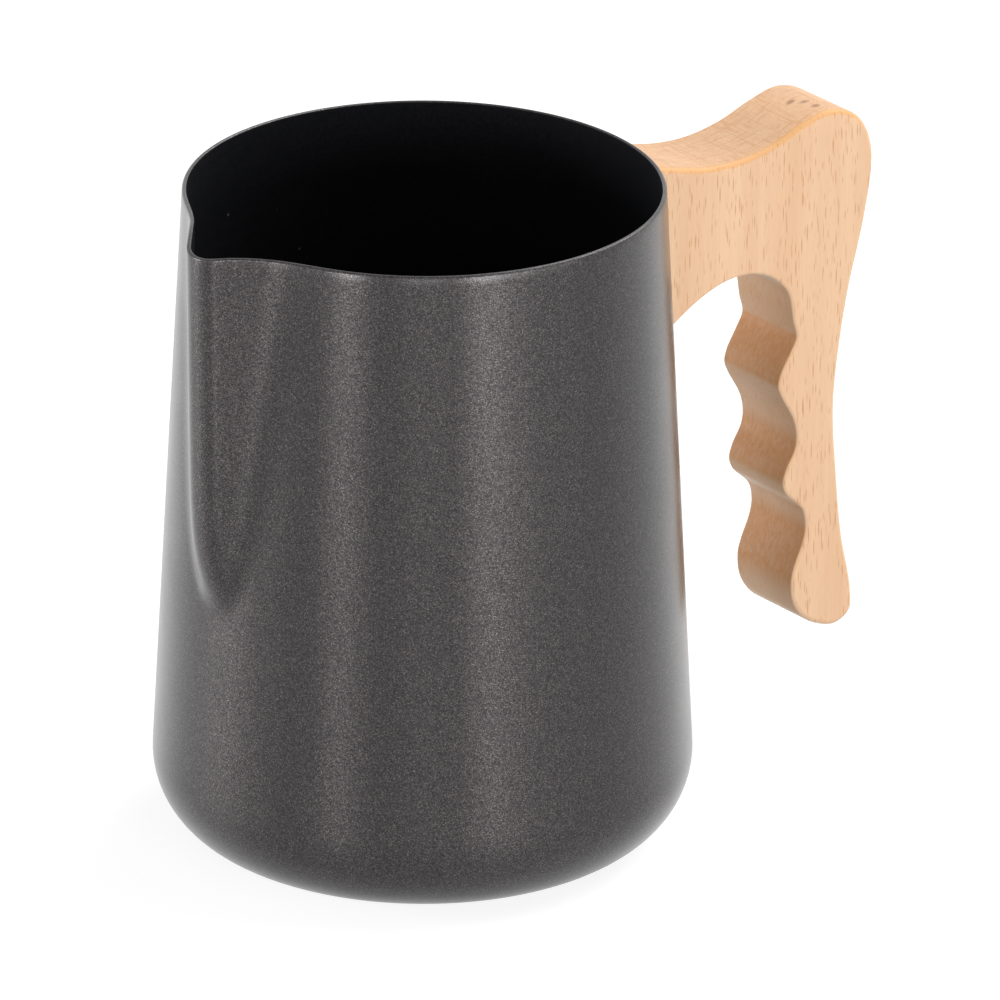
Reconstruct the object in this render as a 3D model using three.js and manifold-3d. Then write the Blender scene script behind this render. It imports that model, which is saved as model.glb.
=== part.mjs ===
// A 600 ml milk frothing pitcher: a drawn steel shell with a V spout, and a beech handle on two screws.
// Millimetres, +Z up. The origin is on the shell's axis, in the plane that it stands on.
// The handle points along +X and the spout along -X.
import * as THREE from "three";
import { mergeVertices } from "three/addons/utils/BufferGeometryUtils.js";
import Module from "manifold-3d";

const wasm = await Module();
wasm.setup();

// Shell.
const rimHeight = 114.25;
const rimRadius = 40; // outside, at the rim
const footRadius = 46; // outside, where the straight wall would meet the base plane
const wallThickness = 0.8;
const cornerRadius = 14.4; // outside, between the wall and the base

// Pressed ring that stiffens the base.
const grooveMargin = 2.8; // flat standing ring between the groove and the rounded corner
const grooveWidth = 7;
const grooveDepth = 0.6;
const grooveRamp = 1.6;

// Spout, at its outer face.
const spoutReach = 7.2; // from the rim circle to the tip
const spoutLength = 63.2; // from the rim down to where the crease runs out
const spoutLean = 0.56; // how far the crease leans in over its length, before it turns in
const spoutFade = 9.5; // how late the crease turns in: higher is later
const creaseRadius = 6.5;
const spoutHalfAngle = THREE.MathUtils.degToRad(50.2);
const spoutBlend = 1.8; // softness of the line where the spout leaves the round wall
const lipDip = 1.1; // how far the pouring edge drops below the rim
const lipDipSpread = THREE.MathUtils.degToRad(6.5);
const lipDipDepth = 13; // the drop has faded out this far below the rim

// Handle board.
const boardThickness = 15.2;
const boardEdge = 1.2; // rounding of the long edges
const boardRoot = 12; // how far the blank runs in past the wall before it is cut to fit
const archDrop = 10.5; // from the middle of the two screws down to the crown of the arch
const toeLift = 17.25; // of the toe above the base plane
// Each finger groove and the ridge below it, from the top down: how far the ridge's tip lies below the crown
// of the arch, how far it stands from the wall, how deep the groove is, and how far its deepest place lies
// above that ridge. The drops and rises are drawn for the grip's full length and stretched to fit it.
const fingers = [
  { drop: 22.1, reach: 28.6, depth: 3.8, rise: 8.1 },
  { drop: 40.2, reach: 29.9, depth: 2.8, rise: 8.3 },
  { drop: 58.3, reach: 32, depth: 2.9, rise: 9.4 },
];

// Saddle plate between the shell and the handle.
const saddleThickness = 1.2;
const saddleWidth = 10;
const saddleMargin = 2.2; // plate above the upper boss and below the lower one
const saddleCorner = 2.5;

// M4 fasteners.
const screwDiameter = 4;
const screwGrip = 22.5; // wood from the end of a boss to the floor of the counterbore
const screwEngagement = 6.4; // thread inside the boss
const headDiameter = 7;
const headHeight = 4;
const socketAcrossFlats = 3;
const socketDepth = 2;
const washerDiameter = 8;
const washerThickness = 0.5;
const bossDiameter = 6.5;
const bossLength = 9; // from the saddle, at the height of the arm's middle
const bossFloor = 1.2;
const screwSpacing = 11.2;
const screwDrop = 17.6; // from the rim to the middle of the two screws
const threadChamfer = 0.5;
const headChamfer = 0.4;

const clearance = 0.3; // between any two pieces that touch

// Fineness of round shapes.
const outlineSteps = 3; // straight pieces between two points of the board's outline
const wallColumns = 40;
const spoutColumns = 28;
const spoutSpan = THREE.MathUtils.degToRad(30); // half the angle that the spout columns cover
const spoutRows = 9;
const cutterColumns = 120;
const fastenerColumns = 24;

// Places that follow from the sizes above.
const taper = (footRadius - rimRadius) / rimHeight;
const wallSlope = Math.atan(taper);
const flatRadius = footRadius - cornerRadius * taper - cornerRadius / Math.cos(wallSlope); // of the base
const spoutEnd = spoutLength + 2 * spoutBlend; // below this the wall is round
const armHeight = rimHeight - screwDrop;
const crownHeight = armHeight - archDrop;
const saddleHeight = screwSpacing + bossDiameter + 2 * saddleMargin;
const screwHeights = [armHeight - screwSpacing / 2, armHeight + screwSpacing / 2];
const bossEnd = wallRadius(armHeight) + saddleThickness + 2 * clearance + bossLength; // its outer face
const seatReach = bossEnd + screwGrip; // the counterbores' floors

function wallRadius(height) {
  return rimRadius + taper * (rimHeight - height);
}

function toSolid(geometry) {
  const bare = geometry.clone();
  bare.deleteAttribute("normal");
  bare.deleteAttribute("uv");
  const merged = mergeVertices(bare, 1e-4);
  const vertProperties = merged.getAttribute("position").array;
  const triVerts = new Uint32Array(merged.index.array);
  return new wasm.Manifold(new wasm.Mesh({ numProp: 3, vertProperties, triVerts }));
}

function toGeometry(solid) {
  const mesh = solid.getMesh();
  const geometry = new THREE.BufferGeometry();
  geometry.setAttribute("position", new THREE.BufferAttribute(mesh.vertProperties, 3));
  geometry.setIndex(new THREE.BufferAttribute(mesh.triVerts, 1));
  geometry.computeVertexNormals();
  return geometry;
}

// Profile points on an arc, both ends included. Angles in radians, from the outward direction.
function arcPoints(radial, height, radius, from, to, steps) {
  return Array.from({ length: steps + 1 }, (_, step) => {
    const angle = THREE.MathUtils.lerp(from, to, step / steps);
    return new THREE.Vector2(radial + radius * Math.cos(angle), height + radius * Math.sin(angle));
  });
}

// A profile of (radius, height) points turned about the +Z axis.
function turned(profile, columns) {
  return new THREE.LatheGeometry(profile, columns).rotateX(Math.PI / 2);
}

// A profile of (radius, x) points turned about a line along +X at this height.
function turnedAlongX(profile, height) {
  return new THREE.LatheGeometry(profile, fastenerColumns)
    .rotateZ(-Math.PI / 2)
    .translate(0, 0, height);
}

function rod(radius, from, to, height) {
  const profile = [
    new THREE.Vector2(0, from),
    new THREE.Vector2(radius, from),
    new THREE.Vector2(radius, to),
    new THREE.Vector2(0, to),
  ];
  return toSolid(turnedAlongX(profile, height));
}

// The round wall as a solid cone, grown by an offset: what seats on the shell is cut with it.
function wallCone(offset) {
  const below = -10;
  const above = rimHeight + 10;
  const profile = [
    new THREE.Vector2(0, below),
    new THREE.Vector2(wallRadius(below) + offset, below),
    new THREE.Vector2(wallRadius(above) + offset, above),
    new THREE.Vector2(0, above),
  ];
  return toSolid(turned(profile, cutterColumns));
}

// Shell -------------------------------------------------------------------------------------

// How far the spout's crease line stands from the axis, at a depth below the rim.
function spoutTip(depth) {
  const share = depth / spoutLength;
  const leaning = rimRadius + spoutReach - spoutLean * share;
  const runOut = rimRadius + spoutReach - spoutLean - wallRadius(rimHeight - spoutLength);
  return leaning - runOut * Math.pow(share, spoutFade);
}

// Radius of a rounded V, seen from above, at an angle from its middle.
function wedgeRadius(tip, crease, angle) {
  const centre = tip - crease;
  const sine = Math.sin(spoutHalfAngle);
  const tangentAngle = Math.atan2(crease * Math.cos(spoutHalfAngle), centre + crease * sine);
  if (angle < tangentAngle) {
    const side = centre * Math.sin(angle);
    return centre * Math.cos(angle) + Math.sqrt(crease * crease - side * side);
  }
  const apex = centre + crease / sine;
  return (apex * sine) / Math.sin(Math.min(spoutHalfAngle + angle, Math.PI / 2));
}

function softMax(a, b, softness) {
  const overlap = Math.max(softness - Math.abs(a - b), 0) / softness;
  return Math.max(a, b) + (overlap * overlap * softness) / 4;
}

// Radius of one face of the wall, with the spout. The inset is 0 outside and the wall's thickness inside.
function spoutedRadius(round, inset, depth, angle) {
  if (depth > spoutEnd) return round;
  const wedge = wedgeRadius(spoutTip(depth) - inset, creaseRadius - inset, angle);
  return softMax(round, wedge, spoutBlend);
}

function lipDrop(depth, angle) {
  const nearRim = Math.max(0, 1 - depth / lipDipDepth);
  return lipDip * Math.exp(-((angle / lipDipSpread) ** 2)) * nearRim;
}

// The base, from its middle to the start of the rounded corner, with the pressed groove.
function baseProfile(inset) {
  const outerEdge = flatRadius - grooveMargin;
  const innerEdge = outerEdge - grooveWidth;
  return [
    new THREE.Vector2(0, inset),
    new THREE.Vector2(innerEdge, inset),
    new THREE.Vector2(innerEdge + grooveRamp, inset + grooveDepth),
    new THREE.Vector2(outerEdge - grooveRamp, inset + grooveDepth),
    new THREE.Vector2(outerEdge, inset),
  ];
}

// One face of the shell, from the middle of the base up to just under the rim's rounding. Its rows lie close
// together where the crease of the spout runs out.
function faceProfile(inset, cornerSteps) {
  const radius = cornerRadius - inset;
  const corner = arcPoints(flatRadius, cornerRadius, radius, -Math.PI / 2, wallSlope, cornerSteps);
  const depths = [spoutEnd + spoutBlend, spoutLength + spoutBlend];
  for (let row = spoutRows; row >= 1; row--) {
    depths.push(spoutLength * Math.sin((Math.PI / 2) * (row / spoutRows)));
  }
  depths.push(wallThickness / 2);
  const wall = depths.map((depth) => {
    const height = rimHeight - depth;
    return new THREE.Vector2(wallRadius(height) - inset / Math.cos(wallSlope), height);
  });
  return [...baseProfile(inset), ...corner, ...wall];
}

// The shell's profile turned about its axis, with each point then moved out to the spout.
function shellGeometry() {
  const outer = faceProfile(0, 6);
  const inner = faceProfile(wallThickness, 5).reverse();
  const half = wallThickness / 2;
  const edge = arcPoints(rimRadius - half, rimHeight - half, half, 0, Math.PI, 4).slice(1, -1);
  const profile = [...outer, ...edge, ...inner];
  const columns = wallColumns + spoutColumns;
  const geometry = new THREE.LatheGeometry(profile, columns);
  const position = geometry.getAttribute("position");
  for (let column = 0; column <= columns; column++) {
    const fromSpout = columnAngle(column % columns);
    profile.forEach((point, row) => {
      const onEdge = row >= outer.length && row < outer.length + edge.length;
      const onInner = row >= outer.length + edge.length;
      const inset = onEdge ? rimRadius - point.x : onInner * wallThickness;
      const place = shellPoint(point, inset, fromSpout);
      position.setXYZ(column * profile.length + row, place.x, place.y, place.z);
    });
  }
  return geometry;
}

// Angle of a column from the middle of the spout: close together over the spout, wider round the rest.
function columnAngle(column) {
  const half = spoutColumns / 2;
  const last = wallColumns + spoutColumns;
  if (column <= half) return (spoutSpan * column) / half;
  if (column >= last - half) return (spoutSpan * (column - last)) / half;
  return spoutSpan + (2 * (Math.PI - spoutSpan) * (column - half)) / wallColumns;
}

function shellPoint(point, inset, fromSpout) {
  const angle = Math.abs(Math.atan2(Math.sin(fromSpout), Math.cos(fromSpout)));
  const depth = rimHeight - point.y;
  const radius = spoutedRadius(point.x, inset, depth, angle);
  const height = point.y - lipDrop(depth, angle);
  return new THREE.Vector3(-radius * Math.cos(fromSpout), -radius * Math.sin(fromSpout), height);
}

// Handle ------------------------------------------------------------------------------------

// The board's outline as (distance out from the wall, height), clockwise from the wall.
function boardOutline() {
  // Distance out, and height above the middle of the screws.
  const top = [[-5, 15.2], [1, 13.6], [7, 12], [13, 10.7], [20, 10.4], [27, 11.6], [33, 13.7], [38.5, 15]];
  const hump = [[42.8, 14], [46.1, 11.5], [48.1, 7.2], [48.4, 2.6], [46.6, -7.6]];
  // Distance out, and drop below the crown of the arch.
  const arch = [[30.6, 5.7], [28, 2.7], [24.3, 0.7], [20, 0], [15.6, 0.6], [10.6, 2.6]];
  const root = [[4.8, 6.1], [-1, 10.1], [-5, 12.9]];
  // The same, drawn for the grip's full length.
  const back = [[43.9, 7.3], [42, 17.5], [40.9, 28.4], [41.7, 40.9], [43, 52.4]];
  const toe = [[45.2, 63.1], [45, 67.1], [42, 68.9], [38.2, 68.1], [34.6, 65.8], [32.4, 62.3]];
  const lowest = Math.max(...toe.map(([, drop]) => drop));
  const stretch = (crownHeight - toeLift) / lowest;
  const arm = [...top, ...hump].map(([out, rise]) => [out, armHeight + rise]);
  const grip = [...back, ...toe, ...gripPoints()].map(([out, drop]) => [out, crownHeight - stretch * drop]);
  const underArm = [...arch, ...root].map(([out, drop]) => [out, crownHeight - drop]);
  return [...arm, ...grip, ...underArm];
}

// The grip's ridges and grooves, from the bottom ridge up.
function gripPoints() {
  const points = [];
  for (const { drop, reach, depth, rise } of fingers.toReversed()) {
    if (points.length > 0) points.push([reach + 0.7, drop + 2]);
    points.push([reach, drop], [reach + 0.6, drop - 2.3], [reach + 2.5, drop - rise + 2.6]);
    points.push([reach + depth, drop - rise], [reach + depth - 0.7, drop - rise - 3]);
  }
  return points;
}

function boardShape() {
  const out = wallRadius(armHeight);
  const points = boardOutline().map(([x, height]) => new THREE.Vector3(out + x, height, 0));
  const curve = new THREE.CatmullRomCurve3(points, false, "centripetal");
  const outline = curve.getPoints((points.length - 1) * outlineSteps);
  const first = outline[0];
  const last = outline[outline.length - 1];
  const inside = out - boardRoot;
  outline.push(new THREE.Vector3(inside, last.y, 0), new THREE.Vector3(inside, first.y, 0));
  return new THREE.Shape(outline.map((point) => new THREE.Vector2(point.x, point.y)));
}

function boardBlank() {
  const board = new THREE.ExtrudeGeometry(boardShape(), {
    depth: boardThickness - 2 * boardEdge,
    bevelThickness: boardEdge,
    bevelSize: boardEdge,
    bevelOffset: -boardEdge,
    bevelSegments: 3,
    curveSegments: 1,
  });
  return toSolid(board.rotateX(Math.PI / 2).translate(0, boardThickness / 2 - boardEdge, 0));
}

// The board, cut to the wall and the saddle plate, and drilled from its back edge for each screw.
function handleGeometry() {
  let board = boardBlank().subtract(wallCone(clearance)).subtract(saddleRecess());
  for (const height of screwHeights) {
    const boss = rod(bossDiameter / 2 + clearance, 0, bossEnd + clearance, height);
    const shank = rod(screwDiameter / 2 + clearance, 0, seatReach + clearance, height);
    const counterbore = rod(washerDiameter / 2 + clearance, seatReach, 2 * seatReach, height);
    board = board.subtract(boss).subtract(shank).subtract(counterbore);
  }
  return toGeometry(board);
}

// Saddle ------------------------------------------------------------------------------------

// A rounded rectangle facing along X, from inside the wall outwards, grown on every side by a margin.
function saddleBlock(margin) {
  const halfWidth = saddleWidth / 2 + margin;
  const halfHeight = saddleHeight / 2 + margin;
  const corner = saddleCorner + margin;
  const outline = new THREE.Shape();
  outline.absarc(halfWidth - corner, halfHeight - corner, corner, 0, Math.PI / 2);
  outline.absarc(corner - halfWidth, halfHeight - corner, corner, Math.PI / 2, Math.PI);
  outline.absarc(corner - halfWidth, corner - halfHeight, corner, Math.PI, Math.PI * 1.5);
  outline.absarc(halfWidth - corner, corner - halfHeight, corner, Math.PI * 1.5, Math.PI * 2);
  const depth = wallRadius(0);
  const block = new THREE.ExtrudeGeometry(outline, { depth, bevelEnabled: false, curveSegments: 5 });
  block.rotateX(Math.PI / 2).rotateZ(Math.PI / 2).translate(wallRadius(rimHeight) / 2, 0, armHeight);
  return toSolid(block);
}

function saddleGeometry() {
  const plate = saddleBlock(0).intersect(wallCone(clearance + saddleThickness));
  return toGeometry(plate.subtract(wallCone(clearance)));
}

function saddleRecess() {
  return saddleBlock(clearance).intersect(wallCone(saddleThickness + 2 * clearance));
}

// Fasteners ---------------------------------------------------------------------------------

// A threaded boss: its inner end is shaped to the saddle, and a blind bore runs in from its outer end.
function bossGeometry(height) {
  const blank = rod(bossDiameter / 2, 0, bossEnd, height);
  const boreFloor = bossEnd - bossLength + bossFloor;
  const bore = rod(screwDiameter / 2 + clearance, boreFloor, bossEnd + clearance, height);
  return toGeometry(blank.subtract(wallCone(saddleThickness + 2 * clearance)).subtract(bore));
}

function washerGeometry(height) {
  const inner = screwDiameter / 2 + clearance;
  const outer = washerDiameter / 2;
  const near = seatReach + clearance;
  const far = near + washerThickness;
  const profile = [
    new THREE.Vector2(inner, near),
    new THREE.Vector2(outer, near),
    new THREE.Vector2(outer, far),
    new THREE.Vector2(inner, far),
    new THREE.Vector2(inner, near),
  ];
  return turnedAlongX(profile, height);
}

// A socket head cap screw, its head towards +X.
function screwGeometry(height) {
  const underHead = seatReach + washerThickness + 2 * clearance;
  const tip = bossEnd - screwEngagement;
  const top = underHead + headHeight;
  const shank = screwDiameter / 2;
  const head = headDiameter / 2;
  const profile = [
    new THREE.Vector2(0, tip),
    new THREE.Vector2(shank - threadChamfer, tip),
    new THREE.Vector2(shank, tip + threadChamfer),
    new THREE.Vector2(shank, underHead),
    new THREE.Vector2(head, underHead),
    new THREE.Vector2(head, top - headChamfer),
    new THREE.Vector2(head - headChamfer, top),
    new THREE.Vector2(0, top),
  ];
  const across = socketAcrossFlats / Math.sqrt(3);
  const socket = new THREE.CylinderGeometry(across, across, 2 * socketDepth, 6);
  socket.rotateZ(-Math.PI / 2).translate(top, 0, height);
  return toGeometry(toSolid(turnedAlongX(profile, height)).subtract(toSolid(socket)));
}

// Materials ---------------------------------------------------------------------------------

function coatedSteel() {
  return new THREE.MeshStandardMaterial({ color: 0x4a4847, roughness: 0.38, metalness: 0.6 });
}

function beech() {
  return new THREE.MeshStandardMaterial({ color: 0xecc39b, roughness: 0.6, metalness: 0 });
}

function weldedSteel() {
  return new THREE.MeshStandardMaterial({ color: 0xa9a8a5, roughness: 0.45, metalness: 1 });
}

function fastenerSteel() {
  return new THREE.MeshStandardMaterial({ color: 0xc4c4c2, roughness: 0.3, metalness: 1 });
}

// Assembly ----------------------------------------------------------------------------------

function addPiece(name, geometry, material) {
  const piece = new THREE.Mesh(geometry, material);
  piece.name = name;
  pitcher.add(piece);
}

const pitcher = new THREE.Group();
addPiece("pitcher_body", shellGeometry(), coatedSteel());
addPiece("wooden_handle", handleGeometry(), beech());
addPiece("handle_saddle", saddleGeometry(), weldedSteel());
for (const [place, height] of [["lower", screwHeights[0]], ["upper", screwHeights[1]]]) {
  addPiece(place + "_boss", bossGeometry(height), weldedSteel());
  addPiece(place + "_screw", screwGeometry(height), fastenerSteel());
  addPiece(place + "_washer", washerGeometry(height), fastenerSteel());
}
export default pitcher;
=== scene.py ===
"""A milk frothing pitcher: a coated steel shell with a V spout, and a beech handle held by two screws.

The shell and the handle are drawn here finely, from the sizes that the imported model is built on. The
saddle, bosses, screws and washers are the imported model's own pieces. Sizes are in millimetres until a
mesh is made, and the scene is in metres.
"""

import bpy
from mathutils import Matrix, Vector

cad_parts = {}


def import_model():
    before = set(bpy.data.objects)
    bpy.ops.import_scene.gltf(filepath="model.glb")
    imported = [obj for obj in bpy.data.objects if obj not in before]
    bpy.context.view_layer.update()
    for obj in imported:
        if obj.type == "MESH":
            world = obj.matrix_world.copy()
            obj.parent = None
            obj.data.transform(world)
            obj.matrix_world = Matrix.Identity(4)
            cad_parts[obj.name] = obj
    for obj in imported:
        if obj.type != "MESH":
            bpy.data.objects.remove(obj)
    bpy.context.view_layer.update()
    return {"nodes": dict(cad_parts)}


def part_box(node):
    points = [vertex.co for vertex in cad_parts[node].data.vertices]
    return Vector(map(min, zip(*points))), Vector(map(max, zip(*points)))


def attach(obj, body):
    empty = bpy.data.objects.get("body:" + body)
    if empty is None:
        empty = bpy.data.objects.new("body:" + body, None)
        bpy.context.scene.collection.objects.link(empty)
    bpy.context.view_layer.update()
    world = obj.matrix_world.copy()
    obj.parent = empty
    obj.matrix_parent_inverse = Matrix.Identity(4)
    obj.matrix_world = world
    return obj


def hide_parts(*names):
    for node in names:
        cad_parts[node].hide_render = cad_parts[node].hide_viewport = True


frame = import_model()

import math

import bmesh
import bpy
from mathutils import Quaternion, Vector

MM = 0.001


def box_mm(node):
    """The node's lowest and highest corners, in millimetres."""
    low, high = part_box(node)
    return Vector(low) / MM, Vector(high) / MM


# Sizes ---------------------------------------------------------------------------------------

body_high = box_mm("pitcher_body")[1]
handle_high = box_mm("wooden_handle")[1]
saddle_low, saddle_high = box_mm("handle_saddle")
boss_low, boss_high = box_mm("lower_boss")
washer_low, washer_high = box_mm("lower_washer")

rim_height = body_high.z
rim_radius = 40.0  # outside, at the rim
foot_radius = 45.97  # outside, where the wall would meet the base plane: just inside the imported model
wall_thickness = 0.8
corner_radius = 14.4  # outside, between the wall and the base

groove_margin = 2.8  # flat standing ring between the groove and the rounded corner
groove_width = 7.0
groove_depth = 0.6
groove_ramp = 1.6

spout_reach = 7.2  # from the rim circle to the tip
spout_length = 63.2  # from the rim down to where the crease runs out
spout_lean = 0.56  # how far the crease leans in over its length, before it turns in
spout_fade = 9.5  # how late the crease turns in: higher is later
crease_radius = 6.5
spout_half_angle = math.radians(50.2)
spout_blend = 1.8  # softness of the line where the spout leaves the round wall
lip_dip = 1.1  # how far the pouring edge drops below the rim
lip_dip_spread = math.radians(6.5)
lip_dip_depth = 13.0  # the drop has faded out this far below the rim

clearance = 0.3
saddle_thickness = 1.2
saddle_corner = 2.5
boss_radius = (boss_high.z - boss_low.z) / 2
shank_radius = 2.0
washer_radius = (washer_high.z - washer_low.z) / 2
board_half = handle_high.y
seat_reach = washer_low.x - clearance
boss_end = boss_high.x

screw_heights = [(box_mm(name)[0].z + box_mm(name)[1].z) / 2 for name in ("lower_screw", "upper_screw")]
arm_height = sum(screw_heights) / 2

taper = (foot_radius - rim_radius) / rim_height
wall_slope = math.atan(taper)
flat_radius = foot_radius - corner_radius * taper - corner_radius / math.cos(wall_slope)
spout_end = spout_length + 2 * spout_blend


def wall_radius(height):
    """Outer radius of the round wall."""
    return rim_radius + taper * (rim_height - height)


# Meshes --------------------------------------------------------------------------------------


def new_object(name, vertices, faces, materials=()):
    """A mesh object from millimetre vertices."""
    mesh = bpy.data.meshes.new(name)
    mesh.from_pydata([[value * MM for value in vertex] for vertex in vertices], [], faces)
    mesh.validate()
    for material in materials:
        mesh.materials.append(material)
    made = bpy.data.objects.new(name, mesh)
    bpy.context.scene.collection.objects.link(made)
    return made


def outward(made):
    """Turns every face outwards."""
    shape = bmesh.new()
    shape.from_mesh(made.data)
    bmesh.ops.recalc_face_normals(shape, faces=shape.faces)
    shape.to_mesh(made.data)
    shape.free()
    return made


def smooth(made, angle):
    """Smooth shading, but for edges sharper than an angle in degrees."""
    for face in made.data.polygons:
        face.use_smooth = True
    made.data.set_sharp_from_angle(angle=math.radians(angle))


def grid_faces(rows, columns):
    """Quads of a grid whose columns go all the way round."""
    faces = []
    for row in range(rows - 1):
        here = row * columns
        above = here + columns
        for column in range(columns):
            beside = (column + 1) % columns
            faces.append((here + column, here + beside, above + beside, above + column))
    return faces


def end_faces(rows, columns):
    """The two faces that close a grid's first and last row."""
    last = (rows - 1) * columns
    return [tuple(range(columns)), tuple(range(last, last + columns))]


def round_angles(columns):
    return [2 * math.pi * column / columns for column in range(columns)]


def arc(radial, height, radius, start, end, steps):
    """Points along an arc round a centre."""
    angles = [start + (end - start) * step / steps for step in range(steps + 1)]
    return [(radial + radius * math.cos(angle), height + radius * math.sin(angle)) for angle in angles]


# Shell ---------------------------------------------------------------------------------------

BASE_CENTRE = 0.01  # radius of the small face in the middle of the base
GROOVE_EDGE = 0.4  # flat kept beside the groove's ramps
CORNER_STEPS = 18
EDGE_STEPS = 10  # round the rim's edge, from the outer face to the inner one
OUTER_ROWS = 72
INNER_ROWS = 64
SPOUT_COLUMNS = 96
WALL_COLUMNS = 150
SPOUT_SPAN = math.radians(36)  # half the angle that the spout's columns cover
SHELL_SMOOTHING = 60


def spout_tip(depth):
    """How far out the crease is, at a depth below the rim."""
    share = depth / spout_length
    run_out = rim_radius + spout_reach - spout_lean - wall_radius(rim_height - spout_length)
    return rim_radius + spout_reach - spout_lean * share - run_out * share**spout_fade


def wedge_radius(tip, crease, angle):
    """Radius of the spout's V at an angle from its middle: a rounded crease between two flat flanks."""
    centre = tip - crease
    sine = math.sin(spout_half_angle)
    tangent_angle = math.atan2(crease * math.cos(spout_half_angle), centre + crease * sine)
    if angle < tangent_angle:
        return centre * math.cos(angle) + math.sqrt(crease**2 - (centre * math.sin(angle)) ** 2)
    apex = centre + crease / sine
    return apex * sine / math.sin(min(spout_half_angle + angle, math.pi / 2))


def soft_max(a, b, softness):
    """The larger of two values, blended where they are close."""
    overlap = max(softness - abs(a - b), 0) / softness
    return max(a, b) + overlap**2 * softness / 4


def spouted_radius(round_radius, inset, depth, angle):
    """Radius of the wall with the spout in it."""
    if depth > spout_end:
        return round_radius
    wedge = wedge_radius(spout_tip(max(depth, 0)) - inset, crease_radius - inset, angle)
    return soft_max(round_radius, wedge, spout_blend)


def lip_drop(depth, angle):
    """How far the shell dips at the spout's lip, at a depth below the rim."""
    return lip_dip * math.exp(-((angle / lip_dip_spread) ** 2)) * max(0, 1 - depth / lip_dip_depth)


def base_profile(inset):
    """The base from its middle out: a flat disc, the pressed groove and the standing ring."""
    outer = flat_radius - groove_margin
    inner = outer - groove_width
    steps = 6
    shares = [step / steps for step in range(steps + 1)]
    points = [(BASE_CENTRE, inset), (inner * 0.5, inset), (inner - GROOVE_EDGE, inset)]
    for edge, way, order in ((inner, 1, shares), (outer, -1, [1 - share for share in shares])):
        for share in order:
            rise = groove_depth * (1 - math.cos(math.pi * share)) / 2
            points.append((edge + way * groove_ramp * share, inset + rise))
    points.append((outer + GROOVE_EDGE, inset))
    return points


def face_profile(inset, rows):
    """One face of the shell from the middle of the base to the rim: outside at inset 0."""
    radius = corner_radius - inset
    corner = arc(flat_radius, corner_radius, radius, -math.pi / 2, wall_slope, CORNER_STEPS)
    wall = []
    start = rim_height - corner_radius * (1 + math.sin(wall_slope))
    for row in range(1, rows + 1):
        depth = start + (wall_thickness / 2 - start) * row / rows
        height = rim_height - depth
        wall.append((wall_radius(height) - inset / math.cos(wall_slope), height))
    return base_profile(inset) + corner + wall


def column_angles():
    """Angles from the middle of the spout: close together over the spout, wider round the rest."""
    rest = 2 * (math.pi - SPOUT_SPAN)
    angles = [SPOUT_SPAN * (2 * column / SPOUT_COLUMNS - 1) for column in range(SPOUT_COLUMNS)]
    angles += [SPOUT_SPAN + rest * column / WALL_COLUMNS for column in range(WALL_COLUMNS)]
    return angles


def shell(coat, inside):
    """The whole shell as one closed mesh, with its own slot for the lining."""
    outer = face_profile(0, OUTER_ROWS)
    inner = face_profile(wall_thickness, INNER_ROWS)[::-1]
    half = wall_thickness / 2
    edge = arc(rim_radius - half, rim_height - half, half, 0, math.pi, EDGE_STEPS)[1:-1]
    profile = [(point, 0) for point in outer]
    profile += [(point, rim_radius - point[0]) for point in edge]
    profile += [(point, wall_thickness) for point in inner]
    angles = column_angles()
    vertices = []
    for (radial, height), inset in profile:
        depth = rim_height - height
        for from_spout in angles:
            angle = abs(math.atan2(math.sin(from_spout), math.cos(from_spout)))
            radius = spouted_radius(radial, inset, depth, angle)
            along = -radius * math.cos(from_spout)
            across = -radius * math.sin(from_spout)
            vertices.append((along, across, height - lip_drop(depth, angle)))
    columns = len(angles)
    faces = grid_faces(len(profile), columns) + end_faces(len(profile), columns)
    made = new_object("pitcher_shell", vertices, faces, (coat, inside))
    first_inner = len(outer) + len(edge) - 2
    for face in made.data.polygons:
        if min(face.vertices) // columns >= first_inner:
            face.material_index = 1
    outward(made)
    smooth(made, SHELL_SMOOTHING)
    return made


# Handle --------------------------------------------------------------------------------------

# Outline of the board: distance out from the wall at the arm's middle, and height above the rim.
TOP = [(-5, -2.4), (1, -4), (7, -5.6), (13, -6.9), (20, -7.2), (27, -6), (33, -3.9), (38.5, -2.6)]
HUMP = [(42.8, -3.6), (46.1, -6.1), (48.1, -10.4), (48.4, -15)]
BACK = [(46.6, -25.2), (43.9, -35.4), (42, -45.6), (40.9, -56.5), (41.7, -69), (43, -80.5)]
TOE = [(45.2, -91.2), (45, -95.2), (42, -97), (38.2, -96.2), (34.6, -93.9), (32.4, -90.4)]
ARCH = [(30.6, -33.8), (28, -30.8), (24.3, -28.8), (20, -28.1), (15.6, -28.7), (10.6, -30.7)]
ROOT = [(4.8, -34.2), (-1, -38.2), (-5, -41)]
FINGER_PITCH = 18.1
TOP_RIDGE = -50.2
FINGERS = [(28.6, 3.8, 8.1), (29.9, 2.8, 8.3), (32, 2.9, 9.4)]  # reach, depth and rise of each groove

FINGER_ROUNDING = 0.5
BACK_ROUNDING = 1.0
ROUNDING_CHANGE = 3  # the points before the first groove, over which the rounding changes
ROUNDING_STEPS = 8
BOARD_INSET = 0.2  # the side faces start this far in from the end of the rounding
CURVE_STEPS = 8
BOARD_ROOT = 12  # how far the blank runs in past the wall before it is cut to fit
HOLE_START = 20  # the holes' cutters start inside the wall and end past the board
HOLE_END = 120
ROD_COLUMNS = 96
CONE_COLUMNS = 360
CONE_MARGIN = 10
HANDLE_SMOOTHING = 40

# Dark marks on the crest of the arm: distance from the axis and from the board's middle plane. Their
# width is divided by the stretch.
KNOTS = [(77.3, 0.1), (78.9, -1.7), (79.2, -4.3)]
KNOT_STRETCH = (0.8, 1.15)


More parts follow.
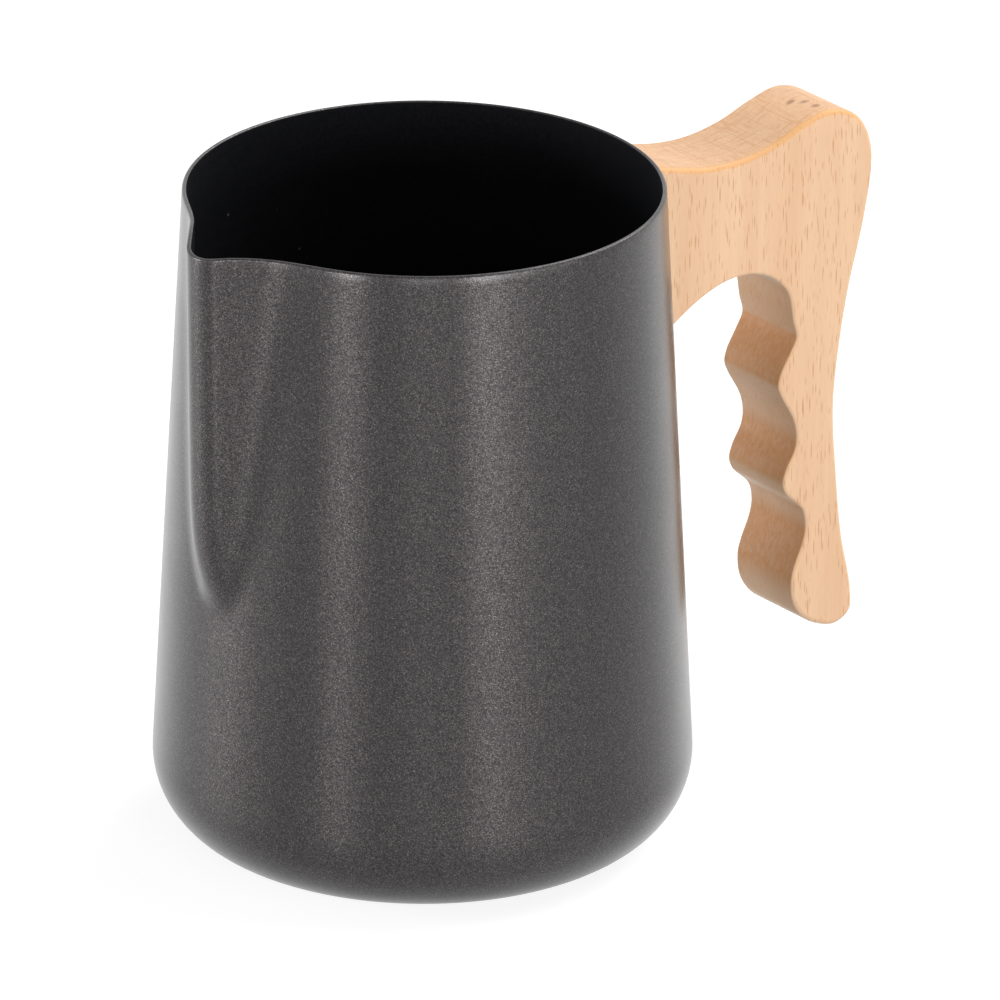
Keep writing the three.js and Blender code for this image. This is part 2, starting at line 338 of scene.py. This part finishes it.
def grip_points():
    """The outline's points along the finger grooves, from the toe up."""
    points = []
    for finger in reversed(range(len(FINGERS))):
        reach, depth, rise = FINGERS[finger]
        up = TOP_RIDGE - FINGER_PITCH * finger
        if finger < len(FINGERS) - 1:
            points.append((reach + 0.7, up - 2))
        points += [(reach, up), (reach + 0.6, up + 2.3), (reach + 2.5, up + rise - 2.6)]
        points += [(reach + depth, up + rise), (reach + depth - 0.7, up + rise + 3)]
    return points


def catmull_rom(points, steps):
    """A centripetal spline through the points, and for each of its points the index it lies after."""
    places = [Vector(point) for point in points]
    ends = [2 * places[0] - places[1]] + places + [2 * places[-1] - places[-2]]
    curve = []
    for index in range(len(places) - 1):
        a, b, c, d = ends[index : index + 4]
        gaps = [max((q - p).length ** 0.5, 1e-4) for p, q in ((a, b), (b, c), (c, d))]
        leave = ((b - a) / gaps[0] - (c - a) / (gaps[0] + gaps[1]) + (c - b) / gaps[1]) * gaps[1]
        arrive = ((c - b) / gaps[1] - (d - b) / (gaps[1] + gaps[2]) + (d - c) / gaps[2]) * gaps[1]
        for step in range(steps):
            t = step / steps
            cubic = 2 * b - 2 * c + leave + arrive
            square = -3 * b + 3 * c - 2 * leave - arrive
            curve.append((b + leave * t + square * t**2 + cubic * t**3, index + t))
    curve.append((places[-1], len(places) - 1.0))
    return curve


def board(wood):
    """The handle's board, its long edges rounded more at the top and back than at the fingers."""
    grip = grip_points()
    points = TOP + HUMP + BACK + TOE + grip + ARCH + ROOT
    change_start = len(TOP + HUMP + BACK + TOE) - ROUNDING_CHANGE
    curve = catmull_rom(points, CURVE_STEPS)
    out = wall_radius(arm_height)
    outline = [Vector((out + place.x, rim_height + place.y)) for place, _ in curve]
    rounding = []
    for _, index in curve:
        share = min(max((index - change_start) / ROUNDING_CHANGE, 0), 1)
        rounding.append(BACK_ROUNDING + (FINGER_ROUNDING - BACK_ROUNDING) * share)
    inside = out - BOARD_ROOT
    outline += [Vector((inside, outline[-1].y)), Vector((inside, outline[0].y))]
    rounding += [FINGER_ROUNDING, BACK_ROUNDING]
    count = len(outline)
    outwards = []
    for index in range(count):
        along = outline[(index + 1) % count] - outline[index - 1]
        outwards.append(Vector((-along.y, along.x)).normalized())
    rings = []
    steps = ROUNDING_STEPS
    for side in (-1, 1):
        ring_order = range(steps + 2) if side > 0 else reversed(range(steps + 2))
        for step in ring_order:
            turn = min(step, steps) / steps * math.pi / 2
            extra = BOARD_INSET if step > steps else 0
            ring = []
            for place, normal, radius in zip(outline, outwards, rounding):
                at = place - normal * (radius * (1 - math.cos(turn)) + extra)
                ring.append((at.x, side * (board_half - radius * (1 - math.sin(turn))), at.y))
            rings.append(ring)
    vertices = [vertex for ring in rings for vertex in ring]
    faces = grid_faces(len(rings), count) + end_faces(len(rings), count)
    return outward(new_object("beech_handle", vertices, faces, (wood,)))


def prism(name, vertices):
    """A closed solid between two rings of as many vertices."""
    columns = len(vertices) // 2
    return outward(new_object(name, vertices, grid_faces(2, columns) + end_faces(2, columns)))


def rod(name, radius, start, end, height):
    """A closed rod along X."""
    vertices = []
    for x in (start, end):
        for angle in round_angles(ROD_COLUMNS):
            vertices.append((x, radius * math.cos(angle), height + radius * math.sin(angle)))
    return prism(name, vertices)


def wall_cone(name, offset):
    """The round wall as a solid cone, grown by an offset."""
    vertices = []
    for height in (-CONE_MARGIN, rim_height + CONE_MARGIN):
        radius = wall_radius(height) + offset
        for angle in round_angles(CONE_COLUMNS):
            vertices.append((radius * math.cos(angle), radius * math.sin(angle), height))
    return prism(name, vertices)


def combine(made, cutter, operation):
    """Applies one exact boolean and removes the cutter."""
    step = made.modifiers.new(operation, "BOOLEAN")
    step.operation = operation
    step.solver = "EXACT"
    step.object = cutter
    graph = bpy.context.evaluated_depsgraph_get()
    result = bpy.data.meshes.new_from_object(made.evaluated_get(graph))
    made.modifiers.clear()
    made.data = result
    bpy.data.objects.remove(cutter)
    return made


def saddle_recess():
    """The cutter for the saddle's pocket: a rounded block that ends on a cone just outside the plate."""
    half_width = (saddle_high.y - saddle_low.y) / 2 + clearance
    half_height = (saddle_high.z - saddle_low.z) / 2 + clearance
    corner = saddle_corner + clearance
    outline = []
    for turn, (y, z) in enumerate(((1, 1), (-1, 1), (-1, -1), (1, -1))):
        middle = Vector((y * (half_width - corner), z * (half_height - corner)))
        outline += arc(middle.x, middle.y, corner, turn * math.pi / 2, (turn + 1) * math.pi / 2, 8)
    ends = (rim_radius / 2, rim_radius * 2)
    block = prism("recess_cutter", [(x, y, arm_height + z) for x in ends for y, z in outline])
    return combine(block, wall_cone("recess_cone", saddle_thickness + 2 * clearance), "INTERSECT")


def handle(wood):
    """The board, cut to the wall and the saddle, and drilled from its back edge for each screw."""
    made = board(wood)
    combine(made, wall_cone("handle_cone", clearance), "DIFFERENCE")
    combine(made, saddle_recess(), "DIFFERENCE")
    holes = (
        ("boss_hole", boss_radius, HOLE_START, boss_end + clearance),
        ("shank_hole", shank_radius, HOLE_START, seat_reach + 1),
        ("counterbore", washer_radius, seat_reach, HOLE_END),
    )
    for height in screw_heights:
        for name, radius, start, end in holes:
            combine(made, rod(name, radius + clearance, start, end, height), "DIFFERENCE")
    smooth(made, HANDLE_SMOOTHING)
    return made


# Materials -----------------------------------------------------------------------------------


class Nodes:
    """Short names for building a material's nodes."""

    def __init__(self, name):
        self.material = bpy.data.materials.new(name)
        self.material.use_nodes = True
        self.tree = self.material.node_tree
        self.tree.nodes.clear()
        self.output = self.add("ShaderNodeOutputMaterial")

    def add(self, kind, **settings):
        node = self.tree.nodes.new(kind)
        for key, value in settings.items():
            setattr(node, key, value)
        return node

    def link(self, source, target):
        self.tree.links.new(source, target)

    def place(self, scale=(1, 1, 1), turn=(0, 0, 0)):
        """The object's own coordinates, turned and scaled."""
        coordinates = self.add("ShaderNodeTexCoord")
        mapping = self.add("ShaderNodeMapping")
        mapping.inputs["Scale"].default_value = scale
        mapping.inputs["Rotation"].default_value = turn
        self.link(coordinates.outputs["Object"], mapping.inputs["Vector"])
        return mapping.outputs["Vector"]

    def noise(self, vector, scale, detail=2.0, roughness=0.5):
        node = self.add("ShaderNodeTexNoise")
        node.inputs["Scale"].default_value = scale
        node.inputs["Detail"].default_value = detail
        node.inputs["Roughness"].default_value = roughness
        self.link(vector, node.inputs["Vector"])
        return node.outputs["Fac"]

    def voronoi(self, vector, scale):
        node = self.add("ShaderNodeTexVoronoi")
        node.inputs["Scale"].default_value = scale
        self.link(vector, node.inputs["Vector"])
        return node

    def ramp(self, value, low, high, to_low=0.0, to_high=1.0):
        """A smooth step from one value to another as the input goes from low to high."""
        node = self.add("ShaderNodeMapRange", interpolation_type="SMOOTHSTEP")
        node.inputs["From Min"].default_value = low
        node.inputs["From Max"].default_value = high
        node.inputs["To Min"].default_value = to_low
        node.inputs["To Max"].default_value = to_high
        self.link(value, node.inputs["Value"])
        return node.outputs["Result"]

    def math(self, operation, first, second=None):
        node = self.add("ShaderNodeMath", operation=operation)
        for socket, value in zip(node.inputs, (first, second)):
            if isinstance(value, (int, float)):
                socket.default_value = value
            elif value is not None:
                self.link(value, socket)
        return node.outputs["Value"]

    def mix(self, share, first, second):
        """The second colour over the first, by the share."""
        node = self.add("ShaderNodeMix", data_type="RGBA")
        colours = (node.inputs[6], first), (node.inputs[7], second)
        for socket, value in ((node.inputs[0], share), *colours):
            if isinstance(value, (int, float)):
                socket.default_value = value
            elif isinstance(value, tuple):
                socket.default_value = (*value, 1.0)
            else:
                self.link(value, socket)
        return node.outputs[2]

    def bump(self, height, distance, strength):
        node = self.add("ShaderNodeBump")
        node.inputs["Distance"].default_value = distance
        node.inputs["Strength"].default_value = strength
        self.link(height, node.inputs["Height"])
        return node.outputs["Normal"]

    def surface(self, **constants):
        """The shader, with its constants on its own sockets."""
        shader = self.add("ShaderNodeBsdfPrincipled")
        for name, value in constants.items():
            shader.inputs[name.replace("_", " ")].default_value = value
        self.link(shader.outputs["BSDF"], self.output.inputs["Surface"])
        return shader


def coat_material():
    """Dark metallic paint with fine pale flakes under a clear coat."""
    n = Nodes("coated_steel")
    place = n.place(turn=(0.6, 0.35, 0.2))
    grain = n.noise(place, 3500, 1.0, 0.5)
    flakes = n.voronoi(place, 5400)
    chosen = n.ramp(flakes.outputs["Color"], 0.35, 0.95)
    core = n.ramp(flakes.outputs["Distance"], 0.2, 0.65, 1.0, 0.0)
    flake = n.math("MULTIPLY", n.math("MULTIPLY", chosen, chosen), core)
    base = n.mix(n.ramp(grain, 0.38, 0.62), (0.0152, 0.0140, 0.0144), (0.0388, 0.0355, 0.0364))
    colour = n.mix(flake, base, (0.162, 0.145, 0.139))
    shader = n.surface(
        Metallic=1.0,
        Anisotropic=0.78,
        Anisotropic_Rotation=0.25,
        Coat_Weight=0.65,
        Coat_Roughness=0.24,
        Coat_IOR=1.42,
    )
    tangent = n.add("ShaderNodeTangent", direction_type="RADIAL", axis="Z")
    n.link(tangent.outputs["Tangent"], shader.inputs["Tangent"])
    n.link(colour, shader.inputs["Base Color"])
    cloud = n.noise(place, 90, 2.0)
    n.link(n.ramp(cloud, 0.3, 0.7, 0.35, 0.39), shader.inputs["Roughness"])
    n.link(n.bump(grain, 0.00003, 0.35), shader.inputs["Normal"])
    return n.material


def inside_material():
    """Matt black lining with a faint grain and a few pale specks."""
    n = Nodes("lining")
    place = n.place()
    grain = n.noise(place, 1800, 2.0, 0.6)
    colour = n.mix(n.ramp(grain, 0.3, 0.7), (0.0040, 0.0042, 0.0052), (0.0080, 0.0084, 0.0100))
    cells = n.voronoi(place, 420)
    chosen = n.ramp(cells.outputs["Color"], 0.78, 0.88)
    core = n.ramp(cells.outputs["Distance"], 0.05, 0.13, 1.0, 0.0)
    colour = n.mix(n.math("MULTIPLY", chosen, core), colour, (0.15, 0.15, 0.15))
    shader = n.surface(Metallic=0.0, IOR=1.16)
    n.link(colour, shader.inputs["Base Color"])
    n.link(n.ramp(grain, 0.3, 0.7, 0.62, 0.74), shader.inputs["Roughness"])
    n.link(n.bump(grain, 0.00004, 0.3), shader.inputs["Normal"])
    return n.material


def beech_material():
    """Pale beech with its grain along Z: brown flecks on the sides, and rays and rings on the ends."""
    n = Nodes("beech")
    coordinates = n.add("ShaderNodeTexCoord")
    at = n.add("ShaderNodeSeparateXYZ")
    n.link(coordinates.outputs["Object"], at.inputs[0])
    facing = n.add("ShaderNodeSeparateXYZ")
    n.link(coordinates.outputs["Normal"], facing.inputs[0])
    along, across, up = facing.outputs
    side = n.math("ABSOLUTE", across)
    end = n.ramp(n.math("ABSOLUTE", up), 0.5, 0.85)
    tone = n.noise(n.place((160, 160, 9)), 1.0, 3.0, 0.55)
    fibre = n.noise(n.place((2600, 2600, 90)), 1.0, 2.0, 0.6)
    patch = n.noise(n.place(), 700, 2.0)
    colour = n.mix(n.ramp(tone, 0.3, 0.7), (0.805, 0.51, 0.31), (0.88, 0.59, 0.38))
    colour = n.mix(n.ramp(fibre, 0.25, 0.75, 0.0, 0.28), colour, (0.76, 0.46, 0.265))
    # Groove faces that look towards the wall get a darker brown: partly painted shade in the hollows, and
    # partly the oil that fibres cut across take. Their upward slopes turn deeper orange, where the cut
    # fibres take more oil.
    below_arch = n.ramp(at.outputs[2], (arm_height - 15) * MM, (arm_height - 17) * MM)
    hollow = n.math("MULTIPLY", n.ramp(along, -0.1, -0.5), below_arch)
    slope = n.math("MULTIPLY", n.ramp(up, -0.25, 0.2), hollow)
    strokes = n.noise(n.place((500, 1500, 900)), 1.0, 2.0, 0.6)
    mottle = n.ramp(strokes, 0.3, 0.65, 0.6, 1.0)
    # The hollow's darker brown is partly painted shade and partly oil.
    colour = n.mix(n.math("MULTIPLY", hollow, 0.15), colour, (0.60, 0.33, 0.19))
    colour = n.mix(n.math("MULTIPLY", slope, mottle), colour, (0.73, 0.345, 0.14))
    # Rays and growth rings on the ends.
    ends = n.mix(n.ramp(patch, 0.3, 0.7), (0.91, 0.56, 0.33), (0.95, 0.615, 0.375))
    for stretch in ((900, 50, 50), (50, 1100, 50)):
        lines = n.math("ABSOLUTE", n.math("SUBTRACT", n.noise(n.place(stretch), 1.0, 1.0), 0.5))
        ends = n.mix(n.ramp(lines, 0.0, 0.045, 0.5, 0.0), ends, (0.76, 0.41, 0.21))
    colour = n.mix(n.math("MULTIPLY", end, n.math("SUBTRACT", 1.0, slope)), colour, ends)
    # Rounded edges: orange where the rounding cuts the fibres, pale where it runs along them.
    upper = n.math("MULTIPLY", side, n.math("MAXIMUM", up, 0.0))
    nicks = n.noise(n.place((1500, 900, 500)), 1.0, 2.0, 0.6)
    ragged = n.math("ADD", upper, n.math("MULTIPLY", nicks, 0.6))
    colour = n.mix(n.ramp(ragged, 0.32, 0.62, 0.0, 0.85), colour, (0.80, 0.42, 0.165))
    planed = n.ramp(n.math("MULTIPLY", side, n.math("ABSOLUTE", along)), 0.2, 0.45, 0.0, 0.6)
    colour = n.mix(planed, colour, (0.92, 0.66, 0.44))
    # Faces that look down are painted paler: painted light, standing in for light bounced up from the
    # floor.
    painted_bounce = n.ramp(up, -0.55, -0.85)
    colour = n.mix(painted_bounce, colour, (0.96, 0.80, 0.64))
    dashes = None
    for turn, (wide, tall) in enumerate(((1700, 135), (2100, 185), (2500, 260))):
        cells = n.voronoi(n.place((wide, wide * 0.8, tall), (0, 0, 0.3 * turn)), 1.0)
        chosen = n.ramp(cells.outputs["Color"], 0.45, 0.68)
        core = n.ramp(cells.outputs["Distance"], 0.12, 0.28, 1.0, 0.0)
        dash = n.math("MULTIPLY", chosen, core)
        dashes = dash if dashes is None else n.math("MAXIMUM", dashes, dash)
    dashes = n.math("MULTIPLY", dashes, n.ramp(side, 0.3, 0.9, 0.5, 1.0))
    colour = n.mix(n.math("MULTIPLY", dashes, 0.65), colour, (0.52, 0.22, 0.08))
    # Three small dark marks on the crest of the arm.
    for out, over in KNOTS:
        mark = n.add("ShaderNodeVectorMath", operation="DISTANCE")
        mark.inputs[1].default_value = (out * KNOT_STRETCH[0], over * KNOT_STRETCH[1], 0)
        n.link(n.place((KNOT_STRETCH[0] / MM, KNOT_STRETCH[1] / MM, 0)), mark.inputs[0])
        near = n.math("ADD", mark.outputs["Value"], n.math("MULTIPLY", patch, 0.5))
        dark = n.math("MULTIPLY", n.ramp(near, 0.4, 1.3, 0.7, 0.0), n.ramp(up, 0.5, 0.85))
        colour = n.mix(dark, colour, (0.36, 0.15, 0.09))
    shader = n.surface(Metallic=0.0, IOR=1.45)
    n.link(colour, shader.inputs["Base Color"])
    n.link(n.ramp(fibre, 0.2, 0.8, 0.48, 0.6), shader.inputs["Roughness"])
    height = n.math("SUBTRACT", fibre, n.math("MULTIPLY", dashes, 0.1))
    n.link(n.bump(height, 0.00004, 0.35), shader.inputs["Normal"])
    return n.material


def steel_material(name, colour, roughness, streak):
    """Bare steel with fine turning or brushing marks."""
    n = Nodes(name)
    marks = n.noise(n.place(streak), 1.0, 3.0, 0.6)
    stain = n.noise(n.place(), 260, 3.0)
    shade = n.mix(n.ramp(marks, 0.25, 0.75), tuple(value * 0.86 for value in colour), colour)
    shade = n.mix(n.ramp(stain, 0.55, 0.8, 0.0, 0.25), shade, (0.30, 0.28, 0.26))
    shader = n.surface(Metallic=1.0)
    n.link(shade, shader.inputs["Base Color"])
    n.link(n.ramp(marks, 0.2, 0.8, roughness - 0.08, roughness + 0.1), shader.inputs["Roughness"])
    n.link(n.bump(marks, 0.00002, 0.3), shader.inputs["Normal"])
    return n.material


# Pieces --------------------------------------------------------------------------------------

coat = coat_material()
lining = inside_material()
beech = beech_material()
welded = steel_material("welded_steel", (0.46, 0.45, 0.43), 0.42, (300, 300, 2600))
fastener = steel_material("fastener_steel", (0.62, 0.62, 0.61), 0.3, (4200, 500, 500))

pitcher_shell = shell(coat, lining)
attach(pitcher_shell, "root")
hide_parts("pitcher_body")

beech_handle = handle(beech)
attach(beech_handle, "root")
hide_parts("wooden_handle")


def dress(node, material):
    """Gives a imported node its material."""
    for place in frame["nodes"][node].material_slots:
        place.material = material


for node in ("handle_saddle", "lower_boss", "upper_boss"):
    dress(node, welded)
for node in ("lower_screw", "upper_screw", "lower_washer", "upper_washer"):
    dress(node, fastener)


# Floor, light and camera ---------------------------------------------------------------------


def seen_rays(tree):
    """1 for what the camera sees, directly or in a reflection, and 0 for light on the object."""
    path = tree.nodes.new("ShaderNodeLightPath")
    total = path.outputs["Is Camera Ray"]
    for name in ("Is Glossy Ray", "Is Transmission Ray"):
        both = tree.nodes.new("ShaderNodeMath")
        both.operation = "MAXIMUM"
        tree.links.new(total, both.inputs[0])
        tree.links.new(path.outputs[name], both.inputs[1])
        total = both.outputs["Value"]
    return total


FLOOR_HALF = 4000
FLOOR_DROP = 0.02  # just below the base, so that no two faces coincide
FLOOR_PAINT = 0.38
FLOOR_GLOW = 0.82  # with the light on the paint, this makes white
AMBIENT = 0.25


def floor():
    """A white table top that shows white to the camera and keeps the pitcher's shadow."""
    n = Nodes("floor")
    paint = n.add("ShaderNodeBsdfDiffuse")
    paint.inputs["Color"].default_value = (FLOOR_PAINT, FLOOR_PAINT, FLOOR_PAINT, 1)
    glow = n.add("ShaderNodeEmission")
    glow.inputs["Color"].default_value = (1, 1, 1, 1)
    n.link(n.math("MULTIPLY", seen_rays(n.tree), FLOOR_GLOW), glow.inputs["Strength"])
    both = n.add("ShaderNodeAddShader")
    n.link(paint.outputs["BSDF"], both.inputs[0])
    n.link(glow.outputs["Emission"], both.inputs[1])
    n.link(both.outputs["Shader"], n.output.inputs["Surface"])
    around = ((-1, -1), (1, -1), (1, 1), (-1, 1))
    corners = [(x * FLOOR_HALF, y * FLOOR_HALF, -FLOOR_DROP) for x, y in around]
    made = new_object("floor", corners, [(0, 1, 2, 3)], (n.material,))


def world():
    """A white surrounding that lights the object softly."""
    made = bpy.data.worlds.new("studio")
    made.use_nodes = True
    tree = made.node_tree
    tree.nodes.clear()
    output = tree.nodes.new("ShaderNodeOutputWorld")
    background = tree.nodes.new("ShaderNodeBackground")
    background.inputs["Color"].default_value = (1, 1, 1, 1)
    level = tree.nodes.new("ShaderNodeMapRange")
    level.inputs["To Min"].default_value = AMBIENT
    level.inputs["To Max"].default_value = 1.0
    tree.links.new(seen_rays(tree), level.inputs["Value"])
    tree.links.new(level.outputs["Result"], background.inputs["Strength"])
    tree.links.new(background.outputs["Background"], output.inputs["Surface"])
    bpy.context.scene.world = made


def soft_box(name, place, aim, width, height, watts):
    """A rectangular area lamp."""
    light = bpy.data.lights.new(name, "AREA")
    light.shape = "RECTANGLE"
    light.size = width
    light.size_y = height
    light.energy = watts
    made = bpy.data.objects.new(name, light)
    made.location = place
    made.rotation_mode = "QUATERNION"
    made.rotation_quaternion = (aim - place).to_track_quat("-Z", "Y")
    bpy.context.scene.collection.objects.link(made)


CAMERA_AZIMUTH = -37.4
CAMERA_ELEVATION = 22.178
CAMERA_ROLL = 0.3254
CAMERA_PIVOT = Vector((0, 0, 0.0818))
CAMERA_DISTANCE = 2.4
CAMERA_AIM = Vector((0.00513, -0.01418, 0.06182))
CAMERA_LENS = 521.6
SENSOR_WIDTH = 36

LOW_BOX_HEIGHT = 0.25
LOW_BOX_GAP = 0.003  # above the floor
LOW_BOX_AIM = Vector((0, 0, 0.05))
LOW_BOXES = [  # name, azimuth from the camera's, distance, width and watts
    ("low_box_left_back", -90, 0.8, 0.3, 3.5),
    ("low_box_left", -68, 0.9, 0.26, 0.7),
    ("low_box_front_left", -34, 0.9, 0.16, 2.1),
    ("low_box_front", 0, 0.9, 0.3, 0.9),
    ("low_box_front_right", 28, 0.9, 0.24, 2.9),
    ("low_box_right", 44, 0.9, 0.2, 0.9),
    ("low_box_right_side", 63, 0.9, 0.3, 0.6),
]


def direction(azimuth, elevation):
    """The unit vector from the axis towards an azimuth, where 0 is -Y, and an elevation."""
    a = math.radians(azimuth)
    e = math.radians(elevation)
    return Vector((math.sin(a) * math.cos(e), -math.cos(a) * math.cos(e), math.sin(e)))


def high_box(name, azimuth, elevation, distance, width, watts):
    """A square soft box up in the air that faces the middle of the pitcher. Azimuth 0 is the camera's."""
    middle = Vector((0, 0, rim_height / 2 * MM))
    place = middle + direction(CAMERA_AZIMUTH + azimuth, elevation) * distance
    soft_box(name, place, middle, width, width, watts)


def low_box(name, azimuth, distance, width, watts):
    """A soft box that stands on the floor and faces the lower part of the pitcher."""
    place = direction(CAMERA_AZIMUTH + azimuth, 0) * distance
    place.z = LOW_BOX_HEIGHT / 2 + LOW_BOX_GAP
    soft_box(name, place, LOW_BOX_AIM, width, LOW_BOX_HEIGHT, watts)


def camera():
    """A long lens from the photograph's angle."""
    back = direction(CAMERA_AZIMUTH, CAMERA_ELEVATION)
    data = bpy.data.cameras.new("camera")
    data.sensor_width = SENSOR_WIDTH
    data.lens = CAMERA_LENS
    data.clip_start = 0.1
    data.clip_end = 20
    made = bpy.data.objects.new("camera", data)
    made.location = CAMERA_PIVOT + back * CAMERA_DISTANCE
    made.rotation_mode = "QUATERNION"
    look = (CAMERA_AIM - made.location).to_track_quat("-Z", "Y")
    made.rotation_quaternion = look @ Quaternion((0, 0, 1), math.radians(CAMERA_ROLL))
    bpy.context.scene.collection.objects.link(made)
    bpy.context.scene.camera = made


floor()
world()
for values in LOW_BOXES:
    low_box(*values)
high_box("high_box_right_back", 120, 50, 1.4, 1.2, 17.5)
camera()
bpy.context.scene.view_settings.view_transform = "Standard"
